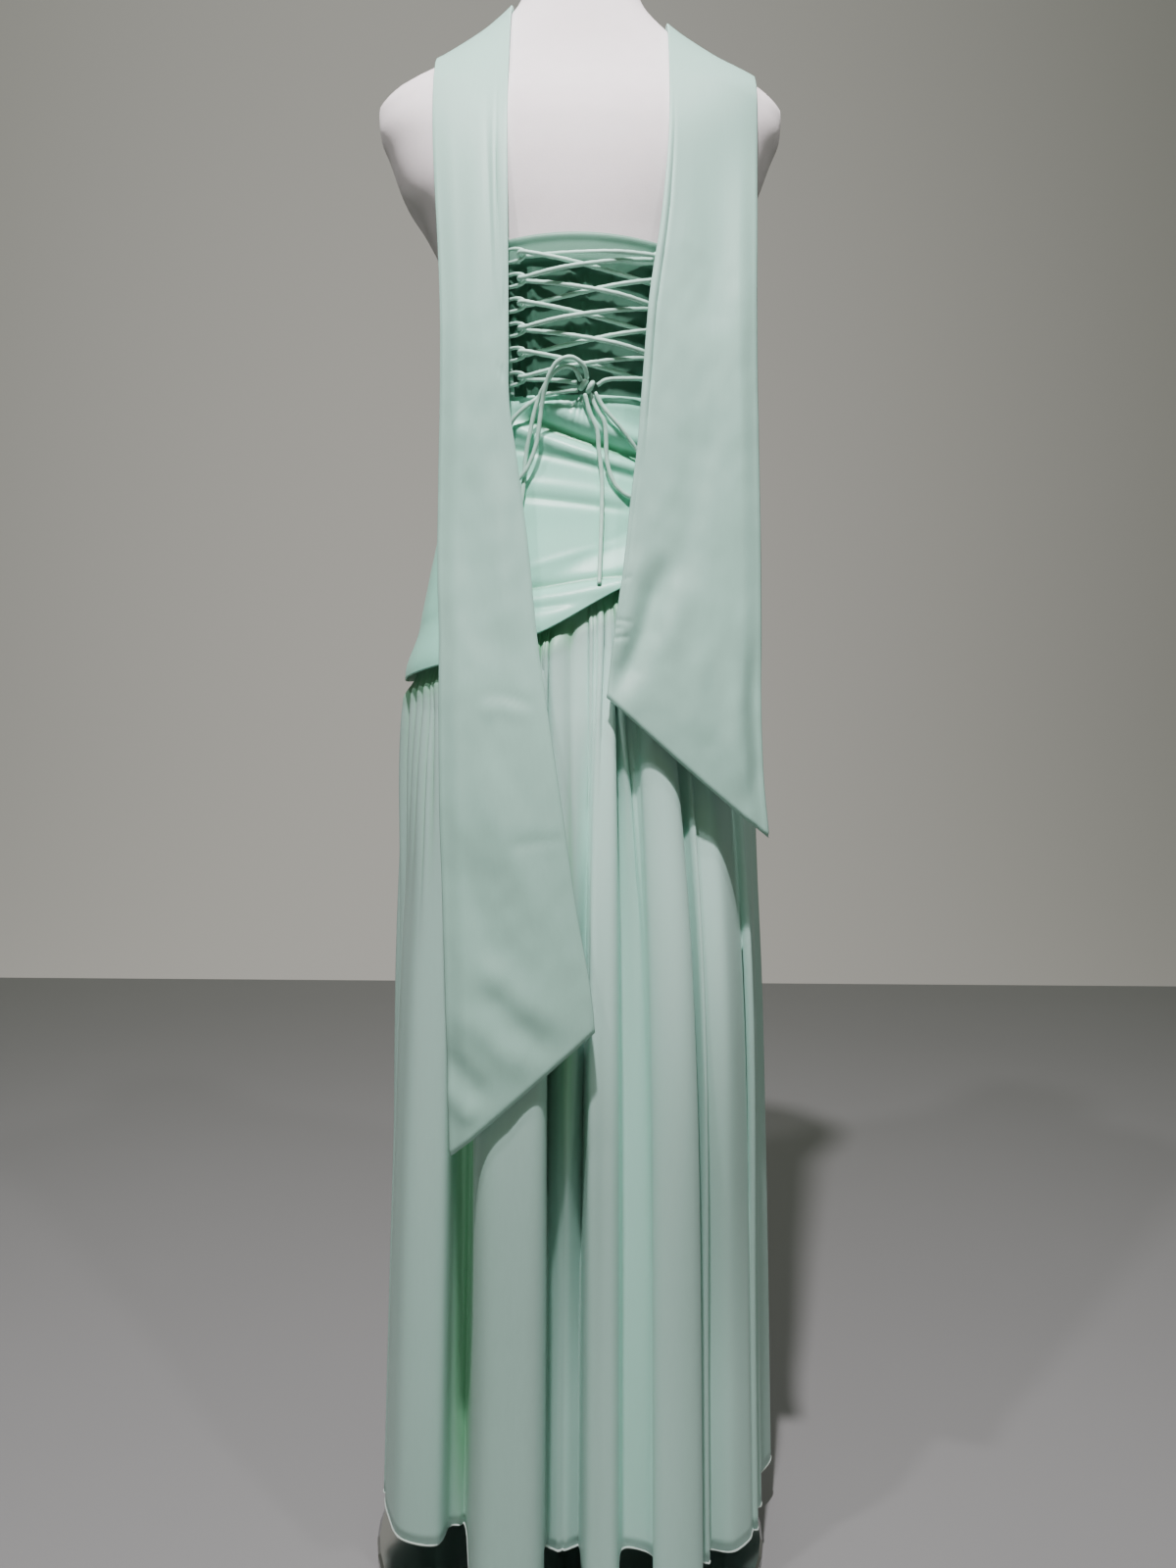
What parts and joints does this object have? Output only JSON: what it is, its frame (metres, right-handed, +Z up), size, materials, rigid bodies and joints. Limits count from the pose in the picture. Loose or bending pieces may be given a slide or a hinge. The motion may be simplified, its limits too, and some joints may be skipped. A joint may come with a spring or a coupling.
{
  "type": "asymmetrical maxi gown on a limbless dress form",
  "caption": "Full-length satin gown with a laced corset back, diagonal basque, shoulder streamers of unequal length and a gathered skirt, on a limbless dress form with a round base.",
  "frame": {"origin": "middle of the base plate's underside", "axes": "+Z up, +Y towards the gown's front (the laced back faces -Y), +X to the right seen from the laced back"},
  "size_m": [0.3882, 0.38, 1.535],
  "materials": {
    "form_cover": "matt knitted cover, off-white with a pink cast",
    "chrome": "bright plated steel",
    "mint_satin": "soft-sheen satin",
    "mint_satin_bright": "taut satin with a brighter sheen",
    "mint_satin_panel": "satin, darker where the lacing shades it"
  },
  "bodies": {
    "root": {"form_base": "chrome", "form_pole": "chrome", "form_torso": "form_cover", "bodice_front": "mint_satin", "bodice_back_left": "mint_satin", "bodice_back_right": "mint_satin", "modesty_panel": "mint_satin_panel", "basque_front": "mint_satin_bright", "basque_back": "mint_satin_bright", "skirt_front": "mint_satin", "skirt_back": "mint_satin", "streamer_left": "mint_satin", "streamer_right": "mint_satin", "loops_left": "mint_satin", "loops_right": "mint_satin", "lace": "mint_satin", "lace_bow_left": "mint_satin", "lace_bow_right": "mint_satin", "lace_tail_left": "mint_satin", "lace_tail_right": "mint_satin", "lace_knot": "mint_satin"}
  },
  "joints": []
}
